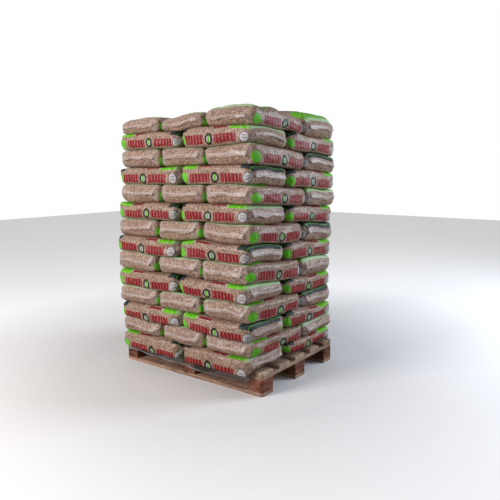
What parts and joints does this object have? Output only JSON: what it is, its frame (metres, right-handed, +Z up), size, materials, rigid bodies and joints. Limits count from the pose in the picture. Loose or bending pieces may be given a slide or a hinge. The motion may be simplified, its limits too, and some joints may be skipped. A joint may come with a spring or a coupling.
{
  "type": "pallet of sacks",
  "caption": "Wooden block pallet stacked with cross-laid layers of clear plastic sacks of wood pellets, with a clear sheet over its deck.",
  "frame": {"origin": "on the floor under the middle of the pallet", "axes": "+Z up, X along the pallet's long side, Y across it"},
  "size_m": [1.2, 0.9554, 1.7111],
  "materials": {
    "board_wood": "weathered, rough sawn",
    "block_wood": "red-brown pressed or sawn blocks, rough",
    "clear_film": "thin clear film, creased",
    "pellet_sack": null
  },
  "bodies": {
    "root": {"base_sheet": "clear_film", "block_back_centre": "block_wood", "block_back_left": "block_wood", "block_back_right": "block_wood", "block_front_centre": "block_wood", "block_front_left": "block_wood", "block_front_right": "block_wood", "block_middle_centre": "block_wood", "block_middle_left": "block_wood", "block_middle_right": "block_wood", "bottom_board_back": "board_wood", "bottom_board_front": "board_wood", "bottom_board_middle": "board_wood", "deck_board_1": "board_wood", "deck_board_2": "board_wood", "deck_board_3": "board_wood", "deck_board_4": "board_wood", "deck_board_5": "board_wood", "sack_layer_01": "pellet_sack", "sack_layer_02": "pellet_sack", "sack_layer_03": "pellet_sack", "sack_layer_04": "pellet_sack", "sack_layer_05": "pellet_sack", "sack_layer_06": "pellet_sack", "sack_layer_07": "pellet_sack", "sack_layer_08": "pellet_sack", "sack_layer_09": "pellet_sack", "sack_layer_10": "pellet_sack", "sack_layer_11": "pellet_sack", "sack_layer_12": "pellet_sack", "sack_layer_13": "pellet_sack", "sack_layer_14": "pellet_sack", "stringer_centre": "board_wood", "stringer_left": "board_wood", "stringer_right": "board_wood"}
  },
  "joints": []
}
